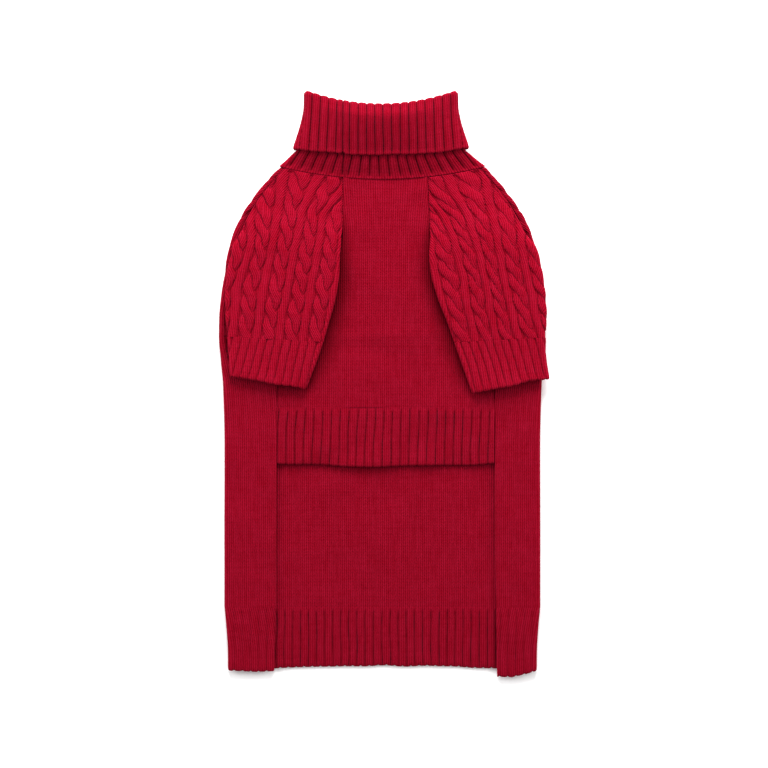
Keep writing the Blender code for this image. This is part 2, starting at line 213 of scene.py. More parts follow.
# Where the five narrow ribs between a sleeve's cables run, from the neck seam to the cuff's edge.
LEFT_RIB_LINES = [
    RibLines(165.0, -100.4, -77.0, -45.5, -25.0, -8.0),
    RibLines(156.7, -100.5, -77.4, -49.3, -28.1, -14.0),
    RibLines(145.1, -100.9, -78.2, -56.4, -35.8, -18.0),
    RibLines(129.7, -101.4, -80.2, -61.6, -45.7, -28.1),
    RibLines(114.3, -100.8, -82.5, -64.8, -47.4, -30.4),
    RibLines(98.9, -102.0, -84.9, -67.8, -50.4, -32.3),
    RibLines(83.5, -107.4, -88.6, -70.2, -53.1, -33.9),
    RibLines(68.1, -112.0, -91.2, -73.5, -55.8, -36.6),
    RibLines(52.7, -113.1, -93.6, -76.6, -58.1, -40.3),
    RibLines(37.3, -114.3, -95.7, -78.9, -60.3, -43.1),
    RibLines(18.0, -118.0, -100.6, -83.2, -64.6, -47.6),
    RibLines(-6.0, -122.0, -106.0, -89.2, -70.6, -53.8),
]
RIGHT_RIB_LINES = [
    RibLines(165.0, 22.0, 27.0, 47.0, 79.0, 94.0),
    RibLines(156.7, 28.0, 30.4, 50.8, 79.9, 95.1),
    RibLines(145.1, 30.0, 35.8, 56.2, 81.2, 98.2),
    RibLines(129.7, 33.0, 47.0, 65.1, 83.9, 103.2),
    RibLines(114.3, 36.0, 53.9, 69.7, 87.4, 105.9),
    RibLines(98.9, 37.8, 58.4, 73.9, 89.4, 107.4),
    RibLines(83.5, 40.0, 61.2, 77.8, 92.2, 110.1),
    RibLines(68.1, 44.0, 64.0, 80.5, 95.3, 114.0),
    RibLines(52.7, 47.6, 66.8, 83.2, 99.2, 117.0),
    RibLines(37.3, 51.6, 70.1, 86.2, 103.2, 121.3),
    RibLines(18.0, 58.6, 76.4, 91.8, 108.4, 126.4),
    RibLines(-6.0, 66.6, 83.4, 98.4, 114.6, 132.0),
]

# The sleeves' and cuffs' inner edges where they lie on the chest, how far out from under them a
# shadow painted on the chest's wool reaches, and how dark it is painted.
SLEEVE_SHADOWS = [
    SleeveShadow(150.0, -31.0, 36.0, 1.0, 0.0),
    SleeveShadow(137.0, -31.0, 36.6, 4.0, 0.35),
    SleeveShadow(122.0, -29.8, 36.6, 7.0, 0.7),
    SleeveShadow(106.0, -30.0, 36.0, 10.0, 0.85),
    SleeveShadow(88.0, -30.6, 36.6, 14.0, 0.88),
    SleeveShadow(66.0, -33.2, 42.0, 18.0, 0.88),
    SleeveShadow(48.0, -38.0, 48.9, 20.0, 0.85),
    SleeveShadow(31.6, -42.6, 54.8, 22.0, 0.8),
    SleeveShadow(10.0, -51.0, 63.0, 20.0, 0.75),
    SleeveShadow(-5.0, -58.0, 68.0, 12.0, 0.35),
    SleeveShadow(-13.0, -60.0, 70.0, 4.0, 0.0),
]

# Soft folds and dents, each along a line at an angle to +X in degrees.
CHEST_CREASES = [
    Crease(-21.0, 141.0, 55, 14.0, 6.0, -0.5),
    Crease(-15.0, 122.0, 80, 18.0, 7.0, 0.5),
    Crease(26.0, 148.0, 15, 16.0, 5.0, 0.4),
    Crease(-2.0, 37.0, 2, 60.0, 5.0, 0.35),
    Crease(6.0, 24.0, -4, 50.0, 6.0, -0.35),
    Crease(-50.0, 5.0, 100, 26.0, 7.0, 0.45),
    Crease(52.0, -4.0, 82, 24.0, 8.0, 0.4),
]
BACK_CREASES = [
    Crease(-101.0, -30.0, 96, 34.0, 6.0, 0.35),
    Crease(-104.0, -105.0, 84, 40.0, 7.0, 0.4),
    Crease(106.0, -52.0, 88, 44.0, 6.0, 0.35),
    Crease(102.0, -130.0, 98, 30.0, 7.0, 0.4),
]

# The knitting: stitches, ribs and cables. Heights and depths without a unit are shares of the relief,
# and a squareness is the power that rounds a rib's section.
WALE = 3.24
COURSE = 2.3
CABLE_PERIOD = 20.7
BACK_CABLE_REPEAT = 16.5
SLEEVE_CABLE_REPEAT = 15.8
ROPE_SHARE = 0.302
STRAND_SHARE = 0.56
STRAND_SPREAD = 0.16
STRAND_SWING = 0.46
STRAND_HEIGHT = 0.5
STRAND_ROUNDNESS = 0.62
STRAND_BLEND = 0.14
# The next two: how wide the crevice where two strands of a rope meet is, and how dark it is painted with
# shade.
CREVICE_WIDTH = 0.09
CREVICE_PAINTED_SHADE = 0.5
NARROW_RIB_SHARE = 0.168
NARROW_RIB_HEIGHT = 0.84
NARROW_RIB_SQUARENESS = 2.6
CABLE_TOP = 1.6
BACK_CABLE_SHARE = 0.85
SCALLOP = 0.9
SCALLOP_REACH = 4.0
YOKE_BOTTOM = 16.5
YOKE_RIB_X = -1.9
YOKE_END = (YOKE_BOTTOM - 0.5, YOKE_BOTTOM + 1.5)
YOKE_FOLD_FADE = (2.0, 7.0)
YOKE_AT_FOLD = 0.55
STRIPS_SEWN_TO = (-66.0, -60.0)
RIBS_START = (0.8, 5.0)
STEP_RUN_OUT = 6.0
HEM_RIB_WIDTH = 6.25
BELLY_RIB_WIDTH = 6.75
CUFF_RIBS_PER_CABLE = 2.75
SQUARE_RIBS = 5.0
ROUND_RIBS = 4.0
COLLAR_SQUARENESS = 3.6
COLLAR_RIBS = 38
COLLAR_BULGE = 5.0
COLLAR_BULGE_LENGTH = 40.0
COLLAR_SEAM = -29.2

# The faces of sleeves and cuffs over and under the cloth's middle, and where the tubes turn under:
# degrees of turn at which an edge has left its seam, and distances past the fold where the relief ends.
JOIN_TOP = 1.2
TUBE_UNDER = RIB_WALL / 2 - 0.2
LEFT_THE_SEAM = (16.0, 60.0)
UNDER_FADE = (1.5, 4.0)

# How dark the grooves are painted in each piece, and how much of a strip's relief is pressed flat.
HEM_SHADE = 0.6
SLEEVE_SHADE = 0.25
CUFF_SHADE = 0.3
COLLAR_SHADE = 0.8
STRIP_PRESSED = 0.55

# How wide the collar's front ribs are at distances along it from the neck seam.
COLLAR_RIB_AT = [0.0, 14.0, 60.0, 110.0]
COLLAR_RIB_WIDTH = [8.1, 7.0, 6.3, 6.55]

# How finely each piece is divided: the step down it in millimetres, and the columns across it. A
# back has them for a strip, a fold and the layer underneath; a tube for a tail, a fold and its upper
# layer. INNER is how many rows and columns of the outer side go to one of the inner side. A SPINE is
# a column near the middle of a tube's upper layer, which tells how far down the rib lines a row is.
YOKE_STEP = 0.95
PLAIN_ROWS = 62
BACK_COLUMNS = (45, 9, 243)
BACK_INNER = 3
HEM_STEP = 1.8
HEM_COLUMNS = (70, 10, 430)
CHEST_STEP = 1.6
CHEST_COLUMNS = 210
CHEST_INNER = 2
BELLY_STEP = 1.4
BELLY_COLUMNS = 420
SLEEVE_STEP = 0.66
SLEEVE_COLUMNS = (6, 9, 150)
SLEEVE_SPINE = 90
SLEEVE_INNER = 3
CUFF_STEP = 1.3
CUFF_COLUMNS = (12, 12, 174)
CUFF_SPINE = 105
COLLAR_STEP = 1.35
COLLAR_COLUMNS = (90, 12, 250)

# The wool: each knit's stitch depth in metres and lightness, and how much each unevenness shows. The
# # yarn is one; the lightness is painted light, making the cable-knit sleeves and the cuffs lighter copies
# # of the plain and rib knits.
KNITS = {
    "plain knit": (0.00055, 0.98),
    "rib knit": (0.0005, 0.96),
    "cuff rib knit": (0.0005, 1.11),
    "cable knit": (0.0005, 1.12),
}
UNEVENNESS = {"fibres": 0.8, "streak": 0.8, "thread": 0.5, "heather": 0.6, "patches": 0.2}
FIBRE_DEPTH = 0.00022
BLOOM_TINT = (1.0, 0.12, 0.24, 1.0)

# The stage, in metres. A soft light's power is the stage setting of that name.
SoftLight = namedtuple("SoftLight", "name place target size power")
SOFT_LIGHTS = [
    SoftLight("key", (0.0, 1.4, 0.75), (0.0, 0.1, 0.0), 0.8, "key"),
    SoftLight("left", (-1.1, 0.3, 0.62), (0.0, 0.0, 0.0), 0.6, "sides"),
    SoftLight("right", (1.1, 0.3, 0.62), (0.0, 0.0, 0.0), 0.6, "sides"),
]
FLOOR_REACH = 3.0
FLOOR_GAP = 0.0002
SENSOR_WIDTH = 36.0


class SweaterSettings(bpy.types.PropertyGroup):
    """Sizes and colours of the knitting."""

    rib_depth: FloatProperty(
        name="Rib depth", description="How far the wide ribs stand out of the cloth",
        default=0.002, min=0.0, max=0.004, unit="LENGTH",
    )
    cable_depth: FloatProperty(
        name="Cable depth", description="How far the cables stand out of the cloth",
        default=0.0018, min=0.0, max=0.005, unit="LENGTH",
    )
    waviness: FloatProperty(
        name="Waviness", description="How unevenly the laid cloth lies",
        default=0.0004, min=0.0, max=0.002, unit="LENGTH",
    )
    yarn: FloatVectorProperty(
        name="Yarn", description="The wool's colour on top of the stitches",
        subtype="COLOR", size=3, default=(0.296, 0.0076, 0.0330), min=0.0, max=1.0,
    )
    # Partly the wool's own deeper tone, partly painted shade in the dips between the stitch legs.
    deep: FloatVectorProperty(
        name="Deep", description="The wool's colour between the stitches",
        subtype="COLOR", size=3, default=(0.214, 0.0003, 0.0105), min=0.0, max=1.0,
    )
    # Painted shade: the colour that the grooves, and the chest beside the sleeves, are darkened towards.
    painted_shade_colour: FloatVectorProperty(
        name="Shade", description="The wool's colour at the bottom of a groove",
        subtype="COLOR", size=3, default=(0.100, 0.0001, 0.0035), min=0.0, max=1.0,
    )
    fuzz: FloatProperty(
        name="Fuzz", description="Strength of the pale bloom on the wool",
        default=0.12, min=0.0, max=1.0, subtype="FACTOR",
    )


class StageSettings(bpy.types.PropertyGroup):
    """The floor, the light and the camera."""

    floor: FloatVectorProperty(
        name="Floor", description="Colour of the floor",
        subtype="COLOR", size=3, default=(0.93, 0.93, 0.93), min=0.0, max=1.0,
    )
    key: FloatProperty(
        name="Key light", description="Power of the large soft light beyond the collar, in watts",
        default=40.0, min=0.0, max=500.0,
    )
    sides: FloatProperty(
        name="Side lights", description="Power of each soft light beside the sweater, in watts",
        default=8.0, min=0.0, max=500.0,
    )
    fill: FloatProperty(
        name="Fill light", description="Strength of the even light from all round",
        default=0.75, min=0.0, max=5.0,
    )
    contrast: FloatProperty(
        name="Contrast", description="How hard the picture is printed",
        default=1.25, min=0.5, max=2.0,
    )
    width_seen: FloatProperty(
        name="Width seen", description="Width of the floor that the camera takes in",
        default=0.591, min=0.1, max=3.0, unit="LENGTH",
    )
    lens: FloatProperty(
        name="Lens", description="Focal length of the camera, in millimetres",
        default=110.0, min=20.0, max=300.0,
    )


# Numbers along and across the cloth


def smooth(knots, values, at):
    """Values between knots on cubics that never overshoot, each column by itself.

    A knot's slope is the harmonic mean of the slopes beside it, or level where they disagree.
    """
    run = np.diff(knots)[:, None]
    slope = np.diff(values, axis=0) / run
    both = slope[:-1] * slope[1:]
    inner = np.where(both > 0, 2 * both / np.where(both > 0, slope[:-1] + slope[1:], 1), 0)
    tangent = np.vstack([slope[:1], inner, slope[-1:]])
    k = np.clip(np.searchsorted(knots, at, side="right") - 1, 0, len(run) - 1)
    t = ((at - knots[k])[:, None]) / run[k]
    return (
        (1 + 2 * t) * (1 - t) ** 2 * values[k]
        + t**2 * (3 - 2 * t) * values[k + 1]
        + run[k] * t * (1 - t) * ((1 - t) * tangent[k] - t * tangent[k + 1])
    )


def rows_at(table, at):
    """The table's named columns, each (rows, 1), where its first column falls through the values at."""
    values = np.array(table, float)
    columns = smooth(-values[:, 0], values, -np.asarray(at, float))
    return type(table[0])(*(columns[:, [c]] for c in range(values.shape[1])))


def courses(length, step, every):
    """Distances from one end to the other, close together where the edges roll.

    The number of steps is a multiple of every, so that the inner side can leave rows out.
    """
    close = np.array(EDGE_ROWS)
    steps = int(np.ceil((length - 2 * close[-1]) / step))
    steps += -(steps + 2 * (len(close) - 1)) % every
    middle = np.linspace(close[-1], length - close[-1], steps + 1)
    return np.concatenate([close[:-1], middle, length - close[-2::-1]])


def edge_first(steps):
    """Shares from 0 to 1, close together at 0, for a stretch that starts at a free edge."""
    return np.linspace(0, 1, steps + 1) ** 1.5


def evenly(steps):
    """Shares from 0 to 1 in equal steps."""
    return np.linspace(0, 1, steps + 1)


def join_stretches(*stretches):
    """Positions in a row of stretches, such as 2.5 for half-way along the third, from their shares."""
    return np.concatenate([s[:-1] + i for i, s in enumerate(stretches)] + [[len(stretches)]])


def lay(breaks, headings, position):
    """A section of laid cloth whose heading turns evenly between the breaks.

    breaks are distances along the cloth and headings are degrees, both (rows, breaks). Returns the
    distance along the cloth, and x and z by adding up the steps, all (rows, columns).
    """
    k = np.minimum(position.astype(int), breaks.shape[1] - 2)
    t = position - k
    along = breaks[:, k] * (1 - t) + breaks[:, k + 1] * t
    heading = np.radians(headings[:, k] * (1 - t) + headings[:, k + 1] * t)
    step = np.diff(along, axis=1)
    between = (heading[:, 1:] + heading[:, :-1]) / 2
    start = np.zeros((len(breaks), 1))
    x = np.hstack([start, np.cumsum(step * np.cos(between), axis=1)])
    z = np.hstack([start, np.cumsum(step * np.sin(between), axis=1)])
    return along, x, z


def pin(values, column, target):
    """The rows of values moved so that the given column lands on the target."""
    return values - values[:, [column]] + target


def waves(x, y, seed, longest=90.0, shortest=28.0, count=9):
    """Uneven swells between about -1 and 1: a sum of sines of seeded directions and lengths.

    It is divided by the square root of their count, and by 1.4, as such a sum's peaks need.
    """
    random = np.random.default_rng(seed)
    total = np.zeros(np.broadcast(x, y).shape)
    for _ in range(count):
        angle, phase = random.uniform(0, 2 * pi, 2)
        number = 2 * pi / random.uniform(shortest, longest)
        total += np.sin(number * (x * np.cos(angle) + y * np.sin(angle)) + phase)
    return total / count**0.5 / 1.4


def ramp(value, start, end):
    """0 before start, 1 after end and an even S between them."""
    t = np.clip((value - start) / (end - start), 0, 1)
    return t * t * (3 - 2 * t)


def upper_layer(z, low, high):
    """0 on a folded cloth's lower layer, 1 on its upper one and an even S round the fold."""
    return ramp(z, low + FOLD_EASE, high - FOLD_EASE)


def creased(x, y, creases):
    """Heights of soft folds in the cloth: each a round swell along a line that dies out at its ends."""
    total = np.zeros(np.broadcast(x, y).shape)
    for c in creases:
        angle = radians(c.angle)
        along = (x - c.x) * np.cos(angle) + (y - c.y) * np.sin(angle)
        beside = (y - c.y) * np.cos(angle) - (x - c.x) * np.sin(angle)
        total += c.height * np.exp(-((beside / c.width) ** 2) - (along / c.length) ** 2)
    return total


# Knitted reliefs, from 0 in the grooves to 1 on top


def scalloped(ribs, from_edge):
    """How far a free edge of ribs draws in at its grooves, dying out a few millimetres in."""
    return SCALLOP * (1 - ribs) * (1 - ramp(from_edge, 0.0, SCALLOP_REACH))


def ribbed(ribs, depth):
    """Height of a ribbed face over the cloth's middle: ribs as high as the wall, grooves cut in."""
    return RIB_WALL / 2 - (1 - ribs) * depth


def wander(across, along, seed):
    """How far the ribs stray sideways: swells that differ from rib to rib and slowly along them."""
    return 0.35 * waves(across, along * 0, seed) + 0.45 * waves(across, along, seed + 40, 70.0, 24.0)


def wide_ribs(phase, squareness):
    """Round ribs with a narrow groove at every whole number of the phase."""
    return 1 - np.abs(2 * (phase - np.floor(phase)) - 1) ** squareness


def cables(column, turn):
    """Two-strand ropes at the half numbers of column, with a narrow rib at each whole number.

    A strand swings from side to side as it turns. Its height is a round hump over its middle, lifted
    and widened while it is on top. The higher strand shows, blended softly into the lower one where
    both stand clear of the ground. Returns the height, how much painted shade each point takes, in
    the grooves and in the crevice where the strands meet, and the middle of the strand that shows, in
    columns.
    """
    offset = column - np.round(column)
    rib = 1 - np.abs(offset / NARROW_RIB_SHARE) ** NARROW_RIB_SQUARENESS
    rib = NARROW_RIB_HEIGHT * np.sqrt(np.clip(rib, 0, 1))
    across = (column - np.floor(column) - 0.5) / ROPE_SHARE
    heights, swings = [], []
    for strand in range(2):
        angle = pi * (turn + strand)
        swing = STRAND_SWING * np.sin(angle)
        width = STRAND_SHARE + STRAND_SPREAD * np.maximum(np.cos(angle), 0)
        body = np.clip(1 - ((across - swing) / width) ** 2, 0, 1)
        lift = (1 - STRAND_HEIGHT) / 2 * (1 + np.cos(angle))
        heights.append(np.where(body > 0, STRAND_HEIGHT * body**STRAND_ROUNDNESS + lift, 0))
        swings.append(swing)
    first, second = heights
    lower = np.minimum(first, second)
    crevice = np.exp(-(((first - second) / CREVICE_WIDTH) ** 2)) * (lower > 0)
    blend = STRAND_BLEND * np.minimum(1, 4 * lower)
    rope = (first + second + np.hypot(first - second, blend)) / 2
    height = np.maximum(rope, rib)
    ground = np.clip(1 - height * 1.2, 0, 1)
    hollow = np.maximum(ground, CREVICE_PAINTED_SHADE * crevice * (rope > rib))
    return height, hollow, np.where(rope > rib, np.where(first > second, *swings) * ROPE_SHARE, 0)


def rib_column(lines, x):
    """Which of the five rib lines x is at, as a number: 1.5 is half-way from the second to the third."""
    line = list(lines[1:])
    column = np.minimum(x - line[0], 0) / (line[1] - line[0])
    for a, b in zip(line, line[1:]):
        column = column + np.clip((x - a) / (b - a), 0, 1)
    return column + np.maximum(x - line[4], 0) / (line[4] - line[3])


# Meshes


def outward(points, closed):
    """Unit normals of a grid of points: the cross product of its steps across and down."""
    across = np.gradient(points, axis=1)
    if closed:
        across[:, [0, -1]] = (across[:, [0]] + across[:, [-1]]) / 2
    normal = np.cross(across, np.gradient(points, axis=0))
    return normal / np.linalg.norm(normal, axis=2, keepdims=True)


def edge_distance(values, axis):
    """Distance of each value to the nearer end of its row or column."""
    first, last = np.take(values, [0], axis), np.take(values, [-1], axis)
    return np.minimum(np.abs(values - first), np.abs(values - last))


def rolled(*edges):
    """Share of the wall left near the edges: a quarter circle of the distance to each.

    An edge is its distance and how it rolls: its reach and the least share.
    """
    share = 1.0
    for distance, (reach, least) in edges:
        near = 1 - np.clip(distance / reach, 0, 1)
        share = np.minimum(share, np.maximum(np.sqrt(1 - near**2), least))
    return share


def closing(outer_line, inner_line, every):
    """Polygons that close the wall along one edge, each from an inner step to the outer steps over it."""
    k = np.arange(len(inner_line) - 1)
    over = outer_line[k[:, None] * every + np.arange(every + 1)]
    return np.column_stack([inner_line[k], over, inner_line[k + 1]])


def quads(grid):
    """The four-sided faces between neighbouring rows and columns of a grid of point numbers."""
    return np.stack([grid[:-1, :-1], grid[:-1, 1:], grid[1:, 1:], grid[1:, :-1]], -1).reshape(-1, 4)


def shell(name, outer, inner, stitches, painted_shades, closed=False, every=1, flip=False):
    """A closed wall between two grids of points in millimetres, with its stitches as its UV map.

    The inner side keeps every so many rows and columns. A closed section's last column is its first.
    A pair gives how much painted shade the points of each side take, in grooves and beside the sleeves.
    """
    inner, inner_stitches = inner[::every, ::every], stitches[::every, ::every]
    hollow = np.concatenate([painted_shades[0].ravel(), painted_shades[1][::every, ::every].ravel()])
    o = np.arange(outer.shape[0] * outer.shape[1]).reshape(outer.shape[:2])
    i = np.arange(inner.shape[0] * inner.shape[1]).reshape(inner.shape[:2]) + o.size
    polygons = [
        quads(o), quads(i)[:, ::-1],
        closing(o[0], i[0], every)[:, ::-1], closing(o[-1], i[-1], every),
    ]
    if not closed:
        polygons += [closing(o[:, 0], i[:, 0], every), closing(o[:, -1], i[:, -1], every)[:, ::-1]]
    if flip:
        polygons = [p[:, ::-1] for p in polygons]
    corners = np.concatenate([p.ravel() for p in polygons])
    sizes = np.concatenate([np.full(len(p), p.shape[1]) for p in polygons])

    weld = np.arange(o.size + i.size)
    if closed:
        weld[o[:, -1]], weld[i[:, -1]] = o[:, 0], i[:, 0]
    used, place = np.unique(weld, return_inverse=True)
    points = np.concatenate([outer.reshape(-1, 3), inner.reshape(-1, 3)])[used] * MM
    uv = np.concatenate([stitches.reshape(-1, 2), inner_stitches.reshape(-1, 2)])[corners]

    mesh = bpy.data.meshes.new(name)
    mesh.vertices.add(len(points))
    mesh.vertices.foreach_set("co", points.ravel())
    mesh.loops.add(len(corners))
    mesh.loops.foreach_set("vertex_index", place[corners])
    mesh.polygons.add(len(sizes))
    mesh.polygons.foreach_set("loop_start", np.concatenate([[0], np.cumsum(sizes)[:-1]]))
    mesh.polygons.foreach_set("use_smooth", np.ones(len(sizes), bool))
    mesh.uv_layers.new(name="stitches").data.foreach_set("uv", uv.ravel())
    mesh.attributes.new("hollow", "FLOAT", "POINT").data.foreach_set("value", hollow[used])
    mesh.update(calc_edges=True)
    mesh.validate()
    mesh.set_sharp_from_angle(angle=radians(CREASE_ANGLE))
    obj = bpy.data.objects.new(name, mesh)
    bpy.context.scene.collection.objects.link(obj)
    return obj


def knit(name, middle, out, under, share, stitches, painted_shades, closed=False, every=1, flip=False):
    """A piece of cloth: its middle grid, the heights of its two faces over it and its edges' roll.

    stitches are the wale and the course each point lies in; then comes how much painted shade the
    outer and the inner face take, in grooves and beside the sleeves.
    """
    normal = outward(middle, closed) * (-1 if flip else 1)
    return shell(
        name,
        middle + normal * (out * share)[..., None],
        middle - normal * (under * share)[..., None],
        np.stack(np.broadcast_arrays(*stitches), -1),
        [h + 0 * out for h in painted_shades],
        closed, every, flip,
    )


def clothe(piece, node, material):
    """Puts the piece in the frame: gives it its material, hangs it on the root and hides the frame's part
    that it stands in for.
    """
    piece.data.materials.append(material)
    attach(piece, "root")
    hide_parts(node)


# Wool


class Nodes:
    """Short ways to write a material's nodes."""

    def __init__(self, material):
        material.use_nodes = True
        self.tree = material.node_tree
        self.shader = self.tree.nodes["Principled BSDF"]

    def add(self, kind, **values):
        node = self.tree.nodes.new("ShaderNode" + kind)
        for name, value in values.items():
            setattr(node, name, value)
        return node

    def link(self, source, target):
        self.tree.links.new(source, target)

    def math(self, operation, a, b=0.0, clamp=False):
        node = self.add("Math", operation=operation, use_clamp=clamp)
        for socket, value in zip(node.inputs, (a, b)):
            if isinstance(value, (int, float)):
                socket.default_value = value
            else:
                self.link(value, socket)
        return node.outputs[0]

    def noise(self, vector, scale, detail=2.0, roughness=0.5):
        node = self.add("TexNoise")
        node.inputs["Scale"].default_value = scale
        node.inputs["Detail"].default_value = detail
        node.inputs["Roughness"].default_value = roughness
        self.link(vector, node.inputs["Vector"])
        return node.outputs[0]

    def runs(self, line, along, scale):
        """Uneven lightness that changes from line to line and slowly along each one."""
        place = self.add("CombineXYZ")
        self.link(line, place.inputs[0])
        self.link(self.math("MULTIPLY", along, scale), place.inputs[1])
        return self.noise(place.outputs[0], 1.0, 1.0)

    def mix(self, share, first, second):
        node = self.add("Mix", data_type="RGBA")
        for socket, value in ((node.inputs[0], share), (node.inputs[6], first), (node.inputs[7], second)):
            if isinstance(value, (int, float, tuple)):
                socket.default_value = value
            else:
                self.link(value, socket)
        return node.outputs[2]

    def bump(self, height, distance, strength, after=None):
        node = self.add("Bump")
        node.inputs["Distance"].default_value = distance
        node.inputs["Strength"].default_value = strength
        self.link(height, node.inputs["Height"])
        if after is not None:
            self.link(after, node.inputs["Normal"])
        return node.outputs[0]


def knitted_wool(name, settings, stitch_depth, painted_lightness):
    """Wool knitted in plain stitches: each wale a row of Vs of two slanting legs, with fuzz on top.

    One unit of the stitches map is one stitch. The relief adds a hump across each leg to a shallow
    one along each loop. The colour is the yarn's on top of the legs and the deep one between them,
    changed by fibres, streaks of wales, threads of courses, heather and patches; the deep colour between
    the legs is partly the wool's own deeper tone and partly painted shade. The colour then sinks into a
    painted shade where the cloth's attribute of painted shade says so: in the grooves, and on the chest
    beside the sleeves.
    """
    material = bpy.data.materials.new(name)
    n = Nodes(material)
    uv = n.add("UVMap", uv_map="stitches").outputs[0]
    place = n.add("TexCoord").outputs["Object"]
    hollow = n.add("Attribute", attribute_name="hollow").outputs["Fac"]
    split = n.add("SeparateXYZ")
    n.link(uv, split.inputs[0])
    u, v = split.outputs[0], split.outputs[1]

    wobble = n.math("MULTIPLY", n.math("SUBTRACT", n.noise(place, 300.0), 0.5), 0.22)
    u = n.math("ADD", u, wobble)
    in_wale = n.math("FRACT", u)
    across = n.math("ABSOLUTE", n.math("SUBTRACT", in_wale, 0.5))
    legs = n.math("ABSOLUTE", n.math("SINE", n.math("MULTIPLY", in_wale, 2 * pi)))
    between = n.math("MULTIPLY", across, 1.1)
    along_leg = n.math("FRACT", n.math("ADD", v, between))
    loop = n.math("SINE", n.math("MULTIPLY", along_leg, pi))
    stitch = n.math("ADD", n.math("MULTIPLY", legs, 0.84), n.math("MULTIPLY", loop, 0.16))

    leg_line = n.math("MULTIPLY", n.math("FLOOR", n.math("MULTIPLY", u, 2.0)), 0.71)
    course_line = n.math("MULTIPLY", n.math("FLOOR", v), 0.83)
    noises = {
        "fibres": n.noise(place, 1700.0, 3.0, 0.65),
        "streak": n.runs(leg_line, v, 0.11),
        "thread": n.runs(course_line, u, 0.16),
        "heather": n.noise(place, 380.0, 2.0, 0.6),
        "patches": n.noise(place, 20.0, 3.0, 0.55),
    }

    # The lightness follows the stitch relief, so the dips between the legs are painted darker with shade;
    # the wool's own unevenness is added to it.
    light = n.math("MULTIPLY", stitch, 0.85)
    for kind, noise in noises.items():
        uneven = n.math("MULTIPLY", n.math("SUBTRACT", noise, 0.5), UNEVENNESS[kind])
        light = n.math("ADD", light, uneven)
    light = n.math("SUBTRACT", light, 0.04, True)
    # Each copy of the one yarn is made lighter or darker by its painted lightness.
    yarn, deep, painted_shade_colour = (
        tuple(c * painted_lightness for c in colour) + (1.0,)
        for colour in (settings.yarn, settings.deep, settings.painted_shade_colour)
    )
    # Painted shade in the grooves and beside the sleeves: the colour sinks towards the shade colour.
    groove = n.math("MULTIPLY", n.math("POWER", hollow, 1.6), 0.9, True)
    n.link(n.mix(groove, n.mix(light, deep, yarn), painted_shade_colour), n.shader.inputs["Base Color"])

    relief = n.bump(stitch, stitch_depth, 1.0)
    n.link(n.bump(noises["fibres"], FIBRE_DEPTH, 0.6, relief), n.shader.inputs["Normal"])
    n.shader.inputs["Roughness"].default_value = 0.92
    n.shader.inputs["Specular IOR Level"].default_value = 0.03
    n.shader.inputs["Sheen Weight"].default_value = settings.fuzz
    n.shader.inputs["Sheen Roughness"].default_value = 0.5
    n.shader.inputs["Sheen Tint"].default_value = BLOOM_TINT
    return material


def wool(kind):
    """The material of one kind of knit, made once."""
    settings = bpy.context.scene.dog_sweater
    name = kind.replace(" ", "_") + "_wool"
    return bpy.data.materials.get(name) or knitted_wool(name, settings, *KNITS[kind])


# The back panel and its hem, which wrap round to the front


def wrapped(row, low_z, high_z, wall, strip_steps, fold_steps, back_steps):
    """The laid section of a back: left strip, fold, the layer underneath, fold, right strip.

    Returns the distance across from the middle of the layer underneath, x and z.
    """
    radius = (high_z - low_z) / 2
    fold_x = row.half - wall / 2 - radius
    left, right = row.strip_left - wall / 2 - radius, row.strip_right - wall / 2 - radius
    stretches = np.hstack([left, left * 0 + pi * radius, 2 * fold_x, left * 0 + pi * radius, right])
    breaks = np.hstack([left * 0, np.cumsum(stretches, axis=1)])
    headings = np.broadcast_to([180.0, 180.0, 360.0, 360.0, 540.0, 540.0], breaks.shape)
    position = join_stretches(
        edge_first(strip_steps), evenly(fold_steps), evenly(back_steps), evenly(fold_steps),
        1 - edge_first(strip_steps)[::-1],
    )
    along, x, z = lay(breaks, headings, position)
    corner = strip_steps + fold_steps
    return along - breaks[:, [2]] - fold_x, pin(x, corner, -fold_x), pin(z, corner, low_z)


